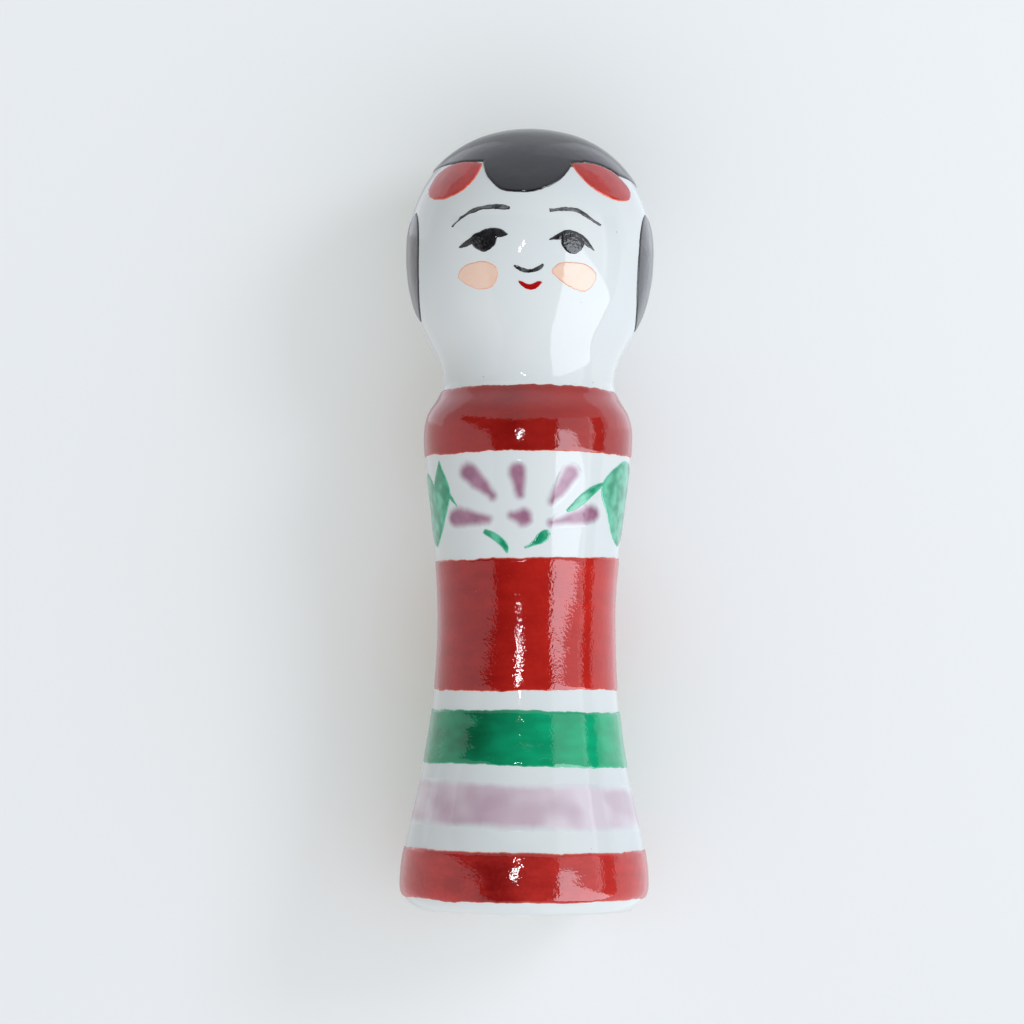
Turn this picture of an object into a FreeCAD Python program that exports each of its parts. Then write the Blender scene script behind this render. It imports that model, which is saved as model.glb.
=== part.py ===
"""Kokeshi doll in glazed porcelain with fired enamels, millimetres.

The doll stands on its foot with +Z up and its face towards -Y. The origin is the centre
of the plane it rests on. Left and right are those of a viewer facing the doll: left is -X.

The layers follow the order of making: a hollow slip-cast body, a clear glaze over it, and
one thin enamel layer per painted motif, each cut from a single skin that follows the glaze.
"""
import FreeCAD, Part
import os

os.makedirs("parts", exist_ok=True)

# Outline of the glaze: radius and height of each place where the side runs vertical.
FOOT_R, FOOT_Z = 9.76, 1.95
WAIST_R, WAIST_Z = 6.99, 23.0
SHOULDER_R, SHOULDER_Z = 8.23, 37.2
NECK_R, NECK_Z = 6.82, 41.8
HEAD_R, HEAD_Z = 9.82, 51.9
HEIGHT = 61.88

# Share of each stretch's height over which its curve leaves and meets the vertical.
FLARE_EASE = (0.24, 0.575)
CHEST_EASE = (0.39, 0.235)
THROAT_EASE = (0.615, 0.45)
JAW_EASE = (0.257, 0.587)
CROWN_EASE = (0.60, 0.61)

# Foot: the ring that touches the table, the rolled edge that rises from it, and the turned
# recess inside it with the drain hole.
RING_OUTER_R = 8.3
RING_INNER_R = 6.9
ROLL_OUT, ROLL_UP = 0.85, 0.35      # where the roll is heading as it leaves the ring
ROLL_EASE = 0.42                    # share of its height over which it meets the vertical
RECESS_R = 6.1
RECESS_DEPTH = 0.9
RECESS_DRAFT = 0.1
DRAIN_R = 2.5

# Thickness of the layers, and the floor of the hollow.
WALL = 2.2
GLAZE = 0.2
ENAMEL = 0.12
FLOOR_Z = 3.4
GLAZE_START_Z = 0.12

# Bands: height at the left side and at the right side of the doll.
SHOULDER_BAND_TOP = (41.0, 41.0)
SHOULDER_BAND_BOTTOM = (35.65, 35.75)
WAIST_BAND_TOP = (27.35, 27.75)
WAIST_BAND_BOTTOM = (17.15, 17.35)
GREEN_BAND_TOP = (15.80, 15.60)
GREEN_BAND_BOTTOM = (11.60, 11.25)
PURPLE_BAND_TOP = (10.10, 9.60)
PURPLE_BAND_BOTTOM = (7.05, 6.70)
FOOT_BAND_TOP = (4.95, 4.85)
FOOT_BAND_BOTTOM = (1.00, 1.05)

# Angle round the axis, from the face, of the side locks and of the side leaves.
LOCK_TURN = 81
LEAF_TURN = 78

# Hairline: its height over the ears, and its tilt, higher on the left.
HAIRLINE_Z = 57.95
HAIRLINE_TILT = 3.6

REACH = 12.0        # cutting prisms reach this far from the axis, beyond the widest radius
OVERSHOOT = 1.0     # cutting solids run this far past the faces they cut through
UP = FreeCAD.Vector(0, 0, 1)
ORIGIN = FreeCAD.Vector(0, 0, 0)


# ---- lathe-turned forms ----------------------------------------------------------------

def at(radius, height):
    """A point of the half outline, in the plane y = 0."""
    return FreeCAD.Vector(radius, 0, height)


def bezier(*points):
    curve = Part.BezierCurve()
    curve.setPoles(list(points))
    return curve.toShape()


def rise(low, high, ease):
    """Outline between two heights, vertical at both ends."""
    span = high.z - low.z
    return bezier(low, low + UP * ease[0] * span, high - UP * ease[1] * span, high)


def side_edges(grow):
    """Outline from the foot roll to the crown, `grow` outside the glaze."""
    foot = at(FOOT_R + grow, FOOT_Z)
    waist = at(WAIST_R + grow, WAIST_Z)
    shoulder = at(SHOULDER_R + grow, SHOULDER_Z)
    neck = at(NECK_R + grow, NECK_Z)
    head = at(HEAD_R + grow, HEAD_Z)
    crown = at(0, HEIGHT + grow)
    dome = bezier(
        head,
        head + UP * CROWN_EASE[0] * (crown.z - head.z),
        crown + at(CROWN_EASE[1] * head.x, 0),
        crown,
    )
    return [
        rise(foot, waist, FLARE_EASE),
        rise(waist, shoulder, CHEST_EASE),
        rise(shoulder, neck, THROAT_EASE),
        rise(neck, head, JAW_EASE),
        dome,
    ]


def foot_roll(grow):
    """Rolled lower edge, from the resting ring up to the foot's widest place."""
    wide = FOOT_R + grow
    ring = RING_OUTER_R + grow
    leaving = at(ring + ROLL_OUT, ROLL_UP)
    meeting = at(wide, (1 - ROLL_EASE) * FOOT_Z)
    return bezier(at(ring, 0), leaving, meeting, at(wide, FOOT_Z))


def turned(edges):
    """Solid of revolution of a closed half outline."""
    face = Part.Face(Part.Wire(edges))
    return Part.makeSolid(face.revolve(ORIGIN, UP, 360))


def full_form(grow):
    """Solid doll, `grow` outside the glaze, flat underneath."""
    roll = foot_roll(grow)
    base = Part.makeLine(ORIGIN, at(RING_OUTER_R + grow, 0))
    axis = Part.makeLine(at(0, HEIGHT + grow), ORIGIN)
    return turned([base, roll] + side_edges(grow) + [axis])


def disc(radius, low, high):
    return Part.makeCylinder(radius, high - low, at(0, low), UP)


# ---- porcelain and glaze ---------------------------------------------------------------

def foot_recess():
    """Turned hollow under the foot, with a sloping inner side to the resting ring."""
    mouth = at(RING_INNER_R, 0)
    ceiling = at(RECESS_R, RECESS_DEPTH)
    slope = bezier(mouth, at(RING_INNER_R - RECESS_DRAFT, RECESS_DEPTH), ceiling)
    top = Part.makeLine(ceiling, at(0, RECESS_DEPTH))
    axis = Part.makeLine(at(0, RECESS_DEPTH), ORIGIN)
    return turned([Part.makeLine(ORIGIN, mouth), slope, top, axis])


def porcelain_body():
    """One casting: head and torso in one, even wall, drain hole in the foot."""
    above_floor = disc(REACH, FLOOR_Z, HEIGHT)
    hollow = full_form(-GLAZE - WALL).common(above_floor)
    drain = disc(DRAIN_R, 0, FLOOR_Z + OVERSHOOT)
    return full_form(-GLAZE).cut(foot_recess()).cut(hollow).cut(drain)


def clear_glaze():
    """Even coat from just above the wiped resting ring to the crown."""
    above_ring = disc(REACH, GLAZE_START_Z, HEIGHT + OVERSHOOT)
    return full_form(0).cut(full_form(-GLAZE)).common(above_ring)


# ---- enamel motifs ---------------------------------------------------------------------

def enamel_skin():
    """Even skin on the glaze that every motif is cut from."""
    return full_form(ENAMEL).cut(full_form(0))


def front_point(x, z):
    """A point of the front view, in the plane y = 0."""
    return FreeCAD.Vector(x, 0, z)


def through(points, closed=False):
    """Smooth curve through points of the front view, each given as (x, z)."""
    curve = Part.BSplineCurve()
    places = [front_point(x, z) for x, z in points]
    curve.interpolate(Points=places, PeriodicFlag=closed)
    return curve.toShape()


def prism(edges):
    """Prism over a closed outline of the front view, reaching out through the front."""
    face = Part.Face(Part.Wire(edges))
    return face.extrude(FreeCAD.Vector(0, -REACH, 0))


def turn(shape, degrees):
    """The shape carried round the doll's axis, seen from above."""
    copy = shape.copy()
    copy.rotate(ORIGIN, UP, degrees)
    return copy


def blob(points):
    """Prism over a rounded closed outline."""
    return prism([through(points, closed=True)])


def pointed(one_side, other_side):
    """Prism over two smooth sides that meet in points at both ends."""
    back = [one_side[0]] + other_side + [one_side[-1]]
    back.reverse()
    return prism([through(one_side), through(back)])


def drop(points):
    """Prism over a rounded outline with one sharp tip, the first point."""
    return prism([through(points + [points[0]])])


def stroke(spine, half_widths):
    """Prism over a brush stroke: a smooth spine with a half width at each of its points."""
    left = []
    right = []
    last = len(spine) - 1
    for index, half in enumerate(half_widths):
        before = front_point(*spine[max(index - 1, 0)])
        after = front_point(*spine[min(index + 1, last)])
        along = (after - before).normalize()
        x, z = spine[index]
        left.append((x - along.z * half, z + along.x * half))
        right.append((x + along.z * half, z - along.x * half))
    right.reverse()
    start = Part.makeLine(front_point(*right[-1]), front_point(*left[0]))
    end = Part.makeLine(front_point(*left[-1]), front_point(*right[0]))
    return prism([start, through(left), end, through(right)])


def dab(thick_end, thin_end, thick_r, thin_r):
    """Prism over a petal dab: two round ends, the thicker one outwards."""
    start = front_point(*thick_end)
    end = front_point(*thin_end)
    along = (end - start).normalize()
    across = FreeCAD.Vector(-along.z, 0, along.x)
    thick_up = start + across * thick_r
    thick_down = start - across * thick_r
    thin_up = end + across * thin_r
    thin_down = end - across * thin_r
    thick_cap = Part.Arc(thick_down, start - along * thick_r, thick_up).toShape()
    thin_cap = Part.Arc(thin_up, end + along * thin_r, thin_down).toShape()
    upper = Part.makeLine(thick_up, thin_up)
    lower = Part.makeLine(thin_down, thick_down)
    return prism([thick_cap, upper, thin_cap, lower])


def joined(solids):
    """One shape from several prisms, merged where they overlap."""
    return solids[0].multiFuse(solids[1:])


def slab(top, bottom):
    """Space between two planes, each given by its heights at the two sides."""
    corners = [(-REACH, bottom), (REACH, bottom), (REACH, top), (-REACH, top)]
    usual_radius = (FOOT_R + WAIST_R) / 2
    points = []
    for x, (left_height, right_height) in corners:
        middle = (left_height + right_height) / 2
        slope = (right_height - left_height) / (2 * usual_radius)
        points.append(FreeCAD.Vector(x, -REACH, middle + slope * x))
    face = Part.Face(Part.makePolygon(points + [points[0]]))
    return face.extrude(FreeCAD.Vector(0, 2 * REACH, 0))


def hair_cap():
    """Black cap over the crown with a round fringe; it meets the ribbons edge to edge.

    Its hairline is drawn from the side, as (y, z), and sinks towards the nape.
    """
    edge = [(-REACH, 58.1), (-4.5, 58.15), (0, HAIRLINE_Z), (4.5, 57.2), (REACH, 55.6)]
    curve = Part.BSplineCurve()
    curve.interpolate([FreeCAD.Vector(-REACH, y, z) for y, z in edge])
    above = HEIGHT + REACH
    front_top = FreeCAD.Vector(-REACH, -REACH, above)
    back_top = FreeCAD.Vector(-REACH, REACH, above)
    rim = [
        curve.toShape(),
        Part.makeLine(curve.EndPoint, back_top),
        Part.makeLine(back_top, front_top),
        Part.makeLine(front_top, curve.StartPoint),
    ]
    cap = Part.Face(Part.Wire(rim)).extrude(FreeCAD.Vector(2 * REACH, 0, 0))
    cap.rotate(at(0, HAIRLINE_Z), FreeCAD.Vector(0, 1, 0), HAIRLINE_TILT)
    fringe = blob([
        (-3.65, 59.6), (-3.76, 58.1), (-3.56, 57.3), (-3.05, 56.5), (-2.38, 55.88), (-1.3, 55.66),
        (-0.2, 55.64), (0.75, 55.85), (1.85, 56.4), (2.62, 57.1), (3.1, 57.9), (3.2, 59.6), (0, 60.4),
    ])
    return skin.common(cap.fuse(fringe)).cut(ribbon_prisms())


def ribbon_prisms():
    left = drop([
        (-3.86, 58.2), (-5.06, 58.5), (-6.26, 58.45), (-7.3, 57.95), (-7.98, 56.95), (-8.14, 56.1),
        (-7.72, 55.6), (-6.6, 55.48), (-5.4, 55.98), (-4.45, 56.93),
    ])
    right = drop([
        (3.15, 58.2), (4.15, 58.42), (5.55, 58.3), (6.75, 57.8), (7.55, 57.1), (7.95, 56.35),
        (7.85, 55.8), (7.2, 55.5), (6.2, 55.6), (5.1, 56.1), (4.1, 56.9),
    ])
    return joined([left, right])


def hair_ribbons():
    return skin.common(ribbon_prisms())


def side_locks():
    """Pointed locks in front of the ears, drawn flat and then turned to the sides."""
    right = pointed(
        [(-1.4, 54.9), (-3.1, 53.4), (-3.58, 51.3), (-3.1, 48.7), (-1.9, 47.1), (0.3, 45.7)],
        [(0.9, 53.6), (2.1, 51.2), (1.9, 48.4)],
    )
    left = pointed(
        [(1.5, 54.9), (2.85, 53.4), (3.05, 51.3), (2.35, 48.7), (1.35, 47.3), (0.1, 46.3)],
        [(-0.9, 53.6), (-2.1, 51.2), (-1.9, 48.4)],
    )
    return skin.common(joined([turn(right, LOCK_TURN), turn(left, -LOCK_TURN)]))


def eyebrows():
    left = stroke(
        [(-6.15, 53.05), (-5.15, 53.93), (-3.95, 54.42), (-2.85, 54.5), (-1.66, 54.36)],
        (0.08, 0.14, 0.16, 0.14, 0.08),
    )
    right = stroke(
        [(1.46, 54.2), (2.35, 54.32), (3.2, 54.36), (4.15, 54.05), (4.9, 53.58), (5.55, 53.25)],
        (0.14, 0.15, 0.15, 0.14, 0.12, 0.09),
    )
    return skin.common(joined([left, right]))


def eyes():
    """Each eye is an upper lid stroke that runs to a point at both ends, with its iris below."""
    left_lid = pointed(
        [(-5.58, 51.42), (-4.98, 51.92), (-4.44, 52.3), (-3.78, 52.68), (-2.98, 52.88),
         (-2.33, 52.72), (-1.72, 52.3)],
        [(-5.0, 51.5), (-4.4, 51.68), (-3.5, 52.0), (-2.6, 51.98), (-2.05, 52.06)],
    )
    left_iris = blob([
        (-4.66, 52.0), (-4.46, 51.45), (-4.08, 51.1), (-3.6, 50.92), (-3.1, 51.12),
        (-2.72, 51.5), (-2.6, 52.1), (-3.5, 52.6),
    ])
    right_lid = pointed(
        [(1.46, 51.86), (1.97, 52.28), (2.51, 52.55), (3.16, 52.68), (3.68, 52.58), (4.18, 52.24),
         (4.64, 51.75), (5.04, 51.2)],
        [(2.0, 51.9), (2.5, 51.95), (3.3, 52.0), (4.1, 51.75), (4.6, 51.42)],
    )
    right_iris = blob([
        (2.4, 52.1), (2.42, 51.6), (2.75, 51.12), (3.36, 50.87), (3.95, 51.15), (4.22, 51.65),
        (4.12, 52.1), (3.3, 52.4),
    ])
    return skin.common(joined([left_lid, left_iris, right_lid, right_iris]))


def nose():
    spine = [(-1.28, 49.85), (-0.78, 49.6), (-0.12, 49.42), (0.48, 49.55), (1.0, 49.93)]
    return skin.common(stroke(spine, (0.06, 0.14, 0.11, 0.14, 0.06)))


def mouth():
    lips = pointed(
        [(-0.98, 48.68), (-0.48, 48.62), (-0.04, 48.44), (0.42, 48.62), (1.02, 48.6)],
        [(-0.6, 48.2), (0.07, 48.0), (0.67, 48.22)],
    )
    return skin.common(lips)


def cheeks():
    left = drop([
        (-5.65, 49.1), (-5.3, 49.85), (-4.2, 50.22), (-3.15, 50.1), (-2.55, 49.5), (-2.6, 48.85),
        (-3.0, 48.3), (-3.95, 48.15), (-5.0, 48.55),
    ])
    right = drop([
        (1.67, 49.35), (2.1, 50.0), (3.4, 50.18), (4.6, 49.98), (5.15, 49.4), (4.97, 48.6),
        (4.3, 48.05), (3.3, 48.22), (2.35, 48.75),
    ])
    return skin.common(joined([left, right]))


def petals():
    """Front half-flower: five dabs round a dot."""
    dabs = [
        dab((-4.7, 34.1), (-2.8, 32.25), 0.72, 0.34),
        dab((-0.85, 34.1), (-0.66, 32.35), 0.62, 0.30),
        dab((3.35, 34.0), (1.9, 31.85), 0.58, 0.28),
        dab((-5.5, 30.66), (-3.2, 30.4), 0.74, 0.28),
        dab((4.98, 31.0), (1.85, 30.2), 0.68, 0.24),
        dab((-0.48, 30.62), (-1.25, 30.72), 0.74, 0.34),
    ]
    return joined(dabs)


def low_leaves():
    """Two small leaves under the flower."""
    left = stroke(
        [(-3.4, 29.52), (-2.8, 29.22), (-2.2, 28.8), (-1.75, 28.3), (-1.58, 27.85)],
        (0.12, 0.24, 0.27, 0.24, 0.05),
    )
    right = stroke([(-0.2, 28.25), (0.55, 28.62), (1.08, 29.0), (1.65, 29.48)],
                   (0.06, 0.22, 0.38, 0.18))
    return joined([left, right])


def right_leaf():
    """Tall leaf on the right side, drawn flat, with a long fine shoot forwards."""
    leaf = pointed(
        [(-0.4, 35.3), (-3.3, 34.35), (-4.15, 33.2), (-3.1, 31.0), (-1.95, 29.5), (-0.4, 28.65)],
        [(2.1, 34.0), (3.0, 32.4), (1.9, 30.2)],
    )
    shoot = stroke(
        [(5.95, 33.35), (4.85, 32.55), (3.95, 31.75), (3.1, 31.1)],
        (0.12, 0.33, 0.32, 0.10),
    )
    return joined([turn(leaf, LEAF_TURN), shoot])


def left_leaf():
    """Forked leaf on the left side, drawn flat, with a short shoot forwards."""
    front = pointed(
        [(2.65, 35.15), (3.2, 34.0), (3.6, 32.6), (3.2, 31.6), (2.5, 30.4), (0.45, 28.5)],
        [(1.5, 33.6), (0.3, 31.2)],
    )
    back = pointed(
        [(-0.5, 34.4), (1.4, 33.0), (1.9, 31.0), (0.45, 28.5)],
        [(-2.3, 32.8), (-1.9, 30.4)],
    )
    shoot = stroke([(3.1, 32.8), (3.7, 32.1), (4.2, 31.45)], (0.25, 0.16, 0.04))
    return turn(joined([front, back, shoot]), -LEAF_TURN)


def flower_petals():
    """The half-flower on the front, and again on the back."""
    front = petals()
    return skin.common(joined([front, turn(front, 180)]))


def flower_leaves():
    front = low_leaves()
    return skin.common(joined([front, turn(front, 180), right_leaf(), left_leaf()]))


def band(top, bottom):
    return skin.common(slab(top, bottom))


skin = enamel_skin()
nodes = {
    "porcelain_body": porcelain_body(),
    "clear_glaze": clear_glaze(),
    "hair_cap": hair_cap(),
    "side_locks": side_locks(),
    "hair_ribbons": hair_ribbons(),
    "eyebrows": eyebrows(),
    "eyes": eyes(),
    "nose": nose(),
    "mouth": mouth(),
    "cheeks": cheeks(),
    "shoulder_band": band(SHOULDER_BAND_TOP, SHOULDER_BAND_BOTTOM),
    "flower_petals": flower_petals(),
    "flower_leaves": flower_leaves(),
    "waist_band": band(WAIST_BAND_TOP, WAIST_BAND_BOTTOM),
    "green_band": band(GREEN_BAND_TOP, GREEN_BAND_BOTTOM),
    "purple_band": band(PURPLE_BAND_TOP, PURPLE_BAND_BOTTOM),
    "foot_band": band(FOOT_BAND_TOP, FOOT_BAND_BOTTOM),
}
for name, shape in nodes.items():
    shape.exportStep("parts/" + name + ".step")
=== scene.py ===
"""Kokeshi doll in glazed porcelain with fired enamels: the looks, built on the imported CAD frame.

The casting and its glaze are turned afresh from the CAD sections, and every enamel is a thin
closed patch laid on the glaze along the outline of its CAD node. Lengths are in millimetres, in
the frame of the row, until a mesh, a lamp, a sheet or the camera is made; those are in metres.
"""
import math

import bpy
import numpy as np
from mathutils import Euler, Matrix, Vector
from mathutils.geometry import delaunay_2d_cdt
from mathutils.kdtree import KDTree


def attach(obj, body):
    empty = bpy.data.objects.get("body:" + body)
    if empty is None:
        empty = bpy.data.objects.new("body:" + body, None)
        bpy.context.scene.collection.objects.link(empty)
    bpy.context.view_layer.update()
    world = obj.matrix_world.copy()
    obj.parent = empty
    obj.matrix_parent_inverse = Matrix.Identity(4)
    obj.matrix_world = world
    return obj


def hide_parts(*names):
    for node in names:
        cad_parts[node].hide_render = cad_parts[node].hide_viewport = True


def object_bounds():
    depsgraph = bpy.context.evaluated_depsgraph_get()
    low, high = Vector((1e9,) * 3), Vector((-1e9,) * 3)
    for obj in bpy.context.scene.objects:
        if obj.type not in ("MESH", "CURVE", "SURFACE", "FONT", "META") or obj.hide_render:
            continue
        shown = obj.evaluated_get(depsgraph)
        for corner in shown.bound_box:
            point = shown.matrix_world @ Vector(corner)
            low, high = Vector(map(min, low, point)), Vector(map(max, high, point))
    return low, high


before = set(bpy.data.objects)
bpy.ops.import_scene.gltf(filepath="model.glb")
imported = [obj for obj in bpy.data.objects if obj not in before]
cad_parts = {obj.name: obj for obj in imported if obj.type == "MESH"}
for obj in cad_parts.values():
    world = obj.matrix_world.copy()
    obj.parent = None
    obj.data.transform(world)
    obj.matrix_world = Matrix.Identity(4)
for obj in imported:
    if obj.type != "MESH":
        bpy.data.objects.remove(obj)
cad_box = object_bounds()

MM = 0.001
TINY = 1e-9                 # lengths and areas below this count as nothing
LEVEL = 1e-12               # stands for the rise of a level edge
WELD_DIGITS = 4             # CAD vertices closer than a ten-thousandth of a millimetre are one
SNAP = 0.001                # CAD points closer than this to a plane or a level are on it
CORNER = math.radians(28)   # an outline that turns more than this at a point has a corner there
CREASE = math.radians(52)   # a mesh edge sharper than this is shaded as an edge

# Turned pieces: steps along their sections, and columns round them.
ROW_STEP = 0.32
OUTLINE_STEP = 0.02
COLUMNS = 240
MIRRORED = 5                # points of a section mirrored over the axis, so that it crosses level
ON_GLAZE = 0.004            # turned points this close to the glaze's outline follow the casting

# Smooth random waves: how many make a field, and how much their lengths differ.
WAVE_COUNT = 28
WAVE_SPREAD = (0.6, 1.5)
SWELL = 0.016               # slow unevenness of the hand-finished casting
SWELL_WAVELENGTH = 6.5
SWELL_SEED = 3

# Brush marks in the top of the paint, and the straying of its edge as (wavelength, share).
# Their seeds are added to the seed of the paint, with SIDE_SEED for each further outline.
STREAK_WAVELENGTH = 2.2
STREAK_STRETCH = (0.35, 0.35, 1.6)
STREAK_SHARE = 0.8
RIPPLE_WAVELENGTH = 0.95
RIPPLE_SHARE = 0.5
MARKS_FROM_RIM = 0.35       # brush marks have their full depth this far from the rim
STRAYING = ((6.0, 0.7), (1.5, 0.45), (0.5, 0.22))
STREAK_SEED, RIPPLE_SEED, STRAY_SEED, SIDE_SEED = 1, 2, 3, 10

# Enamel patches.
SINK = 0.02                 # the rim lies this far inside the glaze
UNDERSIDE = 0.05            # and the hidden underside this far
EDGE_RINGS = (0.015, 0.04, 0.08, 0.13, 0.20, 0.28)
RING_REACH = 1.3            # rings follow the rim inwards over this many tapers
RING_CLEARANCE = 0.93       # ring points nearer the rim than this share of their ring are dropped
FILL_CLEARANCE = 0.45       # the fill starts this many grains inside the last ring
BAND_COLUMNS = 512
CLOSED_OVERLAP = 6          # points repeated past the start of a closed outline to smooth it there
MERGED = 1e-7               # triangulation joins points closer than this


# ---- noise and curves ----------------------------------------------

def waves(points, wavelength, seed, stretch=(1.0, 1.0, 1.0)):
    """Smooth random field of about unit spread, with swells about one wavelength long."""
    rng = np.random.default_rng(seed)
    heading = rng.normal(size=(WAVE_COUNT, 3))
    heading /= np.linalg.norm(heading, axis=1)[:, None]
    numbers = rng.uniform(*WAVE_SPREAD, (WAVE_COUNT, 1)) * heading * (2 * math.pi / wavelength)
    phases = rng.uniform(0, 2 * math.pi, WAVE_COUNT)
    total = np.cos((points * np.array(stretch)) @ numbers.T + phases).sum(axis=1)
    return total * math.sqrt(2 / WAVE_COUNT)


def spline(knots, values, places):
    """Natural cubic spline through the values at the knots, read at the places."""
    count = len(knots)
    if count == 2:
        share = ((places - knots[0]) / (knots[1] - knots[0]))[:, None]
        return values[0] * (1 - share) + values[1] * share
    step = np.diff(knots)
    matrix = np.eye(count)
    wanted = np.zeros_like(values)
    for row in range(1, count - 1):
        matrix[row, row - 1] = step[row - 1]
        matrix[row, row] = 2 * (step[row - 1] + step[row])
        matrix[row, row + 1] = step[row]
        rise = (values[row + 1] - values[row]) / step[row]
        wanted[row] = 6 * (rise - (values[row] - values[row - 1]) / step[row - 1])
    bend = np.linalg.solve(matrix, wanted)
    cell = np.clip(np.searchsorted(knots, places) - 1, 0, count - 2)
    span = step[cell][:, None]
    far = (places - knots[cell])[:, None] / span
    near = 1 - far
    curve = (near ** 3 - near) * bend[cell] + (far ** 3 - far) * bend[cell + 1]
    return near * values[cell] + far * values[cell + 1] + curve * span ** 2 / 6


def lengths(points):
    """Distance along a path to each of its points."""
    return np.concatenate([[0.0], np.cumsum(np.linalg.norm(np.diff(points, axis=0), axis=1))])


def cross(a, b):
    """Twice the signed area between pairs of vectors in the plane."""
    return a[:, 0] * b[:, 1] - a[:, 1] * b[:, 0]


def corners(points):
    """Places of an open path where it turns sharply, its two ends among them."""
    along = np.diff(points, axis=0)
    along /= np.linalg.norm(along, axis=1)[:, None]
    turn = np.arccos(np.clip((along[1:] * along[:-1]).sum(axis=1), -1, 1))
    return [0] + [i + 1 for i in np.flatnonzero(turn > CORNER)] + [len(points) - 1]


def smooth_path(points, step):
    """The path again with points about one step apart, curved between its corners."""
    marks = corners(points)
    runs = []
    for start, end in zip(marks[:-1], marks[1:]):
        run = points[start:end + 1]
        knots = lengths(run)
        places = np.linspace(0, knots[-1], max(2, math.ceil(knots[-1] / step) + 1))
        fine = np.clip(spline(knots, run, places), run.min(axis=0), run.max(axis=0))
        runs.append(fine[:-1])
    return np.vstack(runs + [points[-1:]])


# ---- what the CAD nodes say ----------------------------------------

def welded(node):
    """Vertices and triangles of a CAD node, with each place held once."""
    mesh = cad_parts[node].data
    places = np.empty(len(mesh.vertices) * 3)
    mesh.vertices.foreach_get("co", places)
    mesh.calc_loop_triangles()
    corner_of = np.empty(len(mesh.loop_triangles) * 3, int)
    mesh.loop_triangles.foreach_get("vertices", corner_of)
    places = (places.reshape(-1, 3) / MM).round(WELD_DIGITS)
    points, same = np.unique(places, axis=0, return_inverse=True)
    triangles = same.ravel()[corner_of].reshape(-1, 3)
    lasting = (triangles != np.roll(triangles, 1, axis=1)).all(axis=1)
    return points, triangles[lasting]


def edges_of(triangles):
    """The three edges of every triangle, as directed pairs of vertices."""
    return np.vstack([triangles[:, [0, 1]], triangles[:, [1, 2]], triangles[:, [2, 0]]])


def meridian(node):
    """Half section of a turned CAD node, as (radius, height) from its crown to its inner crown.

    The seams of its faces lie in one half plane. A flat face has no seam, so the walk steps
    over it to the nearest seam point of its height.
    """
    points, triangles = welded(node)
    seam = (abs(points[:, 1]) < SNAP) & (points[:, 0] > -SNAP)
    beside = {}
    for a, b in edges_of(triangles):
        if seam[a] and seam[b]:
            beside.setdefault(a, set()).add(b)
            beside.setdefault(b, set()).add(a)
    left = set(beside)
    here = max((i for i in left if points[i, 0] < SNAP), key=lambda i: points[i, 2])
    walk = []
    while here is not None:
        walk.append(here)
        left.discard(here)
        ahead = [i for i in beside[here] if i in left]
        level = [i for i in left if abs(points[i, 2] - points[here, 2]) < SNAP]
        level.sort(key=lambda i: abs(points[i, 0] - points[here, 0]))
        arrived = len(walk) > 1 and points[here, 0] < SNAP
        here = None if arrived else (ahead + level + [None])[0]
    return points[walk][:, [0, 2]]


def smooth_meridian(path, step):
    """A half section with finer points; it crosses the axis level at both ends.

    Of the fine points, those that all but touch the axis give way to its two end points.
    """
    flip = np.array([-1.0, 1.0])
    whole = np.vstack([path[MIRRORED:0:-1] * flip, path, path[-2:-2 - MIRRORED:-1] * flip])
    fine = smooth_path(whole, step)
    fine = fine[fine[:, 0] > step / 4]
    return np.vstack([path[:1], fine, path[-1:]])


class Outline:
    """Outer line of the glaze, from its lower edge up to the crown, by arc length."""

    def __init__(self):
        fine = smooth_meridian(meridian("clear_glaze"), OUTLINE_STEP)
        side = fine[:corners(fine)[1] + 1][::-1]
        self.arc = lengths(side)
        self.radius, self.height = side.T
        along = np.gradient(side, self.arc, axis=0)
        along /= np.linalg.norm(along, axis=1)[:, None]
        along[-1] = (-1.0, 0.0)
        self.out_r, self.out_z = along[:, 1], -along[:, 0]
        self.crown = self.arc[-1]


outline = Outline()


def place(turn, arc, lift):
    """Points `lift` above the glaze. The turn round the axis is 0 at the face, + to the right."""
    radius = np.interp(arc, outline.arc, outline.radius)
    height = np.interp(arc, outline.arc, outline.height)
    out_r = np.interp(arc, outline.arc, outline.out_r)
    out_z = np.interp(arc, outline.arc, outline.out_z)
    side = np.stack([np.sin(turn), -np.cos(turn)], axis=-1)
    base = np.column_stack([side * radius[:, None], height])
    swell = SWELL * (np.tanh(waves(base, SWELL_WAVELENGTH, SWELL_SEED)) - 1)
    rise = (lift + swell)[:, None]
    return base + np.column_stack([side * out_r[:, None], out_z]) * rise


def on_glaze(turn, arc):
    """Points on the glaze."""
    return place(turn, arc, np.zeros(len(turn)))


def kd_tree(points):
    """Search tree of points in the plane or in space."""
    tree = KDTree(len(points))
    for index, point in enumerate(points):
        tree.insert(in_space(point), index)
    tree.balance()
    return tree


def in_space(point):
    """A point as three numbers, with height 0 where it has none."""
    return tuple(point) if len(point) == 3 else (point[0], point[1], 0)


def nearest(tree, points):
    """Number of the nearest point in the tree, and the distance to it, for each point."""
    found = [tree.find(in_space(point))[1:] for point in points]
    return np.array([number for number, _ in found]), np.array([gap for _, gap in found])


def seat(points):
    """Turn, arc length and lift of points near the glaze: the reverse of `place`."""
    turn = np.arctan2(points[:, 0], -points[:, 1])
    radius = np.hypot(points[:, 0], points[:, 1])
    tree = kd_tree(np.column_stack([outline.radius, outline.height]))
    near, _ = nearest(tree, np.column_stack([radius, points[:, 2]]))
    lift = (radius - outline.radius[near]) * outline.out_r[near]
    lift += (points[:, 2] - outline.height[near]) * outline.out_z[near]
    return turn, outline.arc[near], lift


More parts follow.
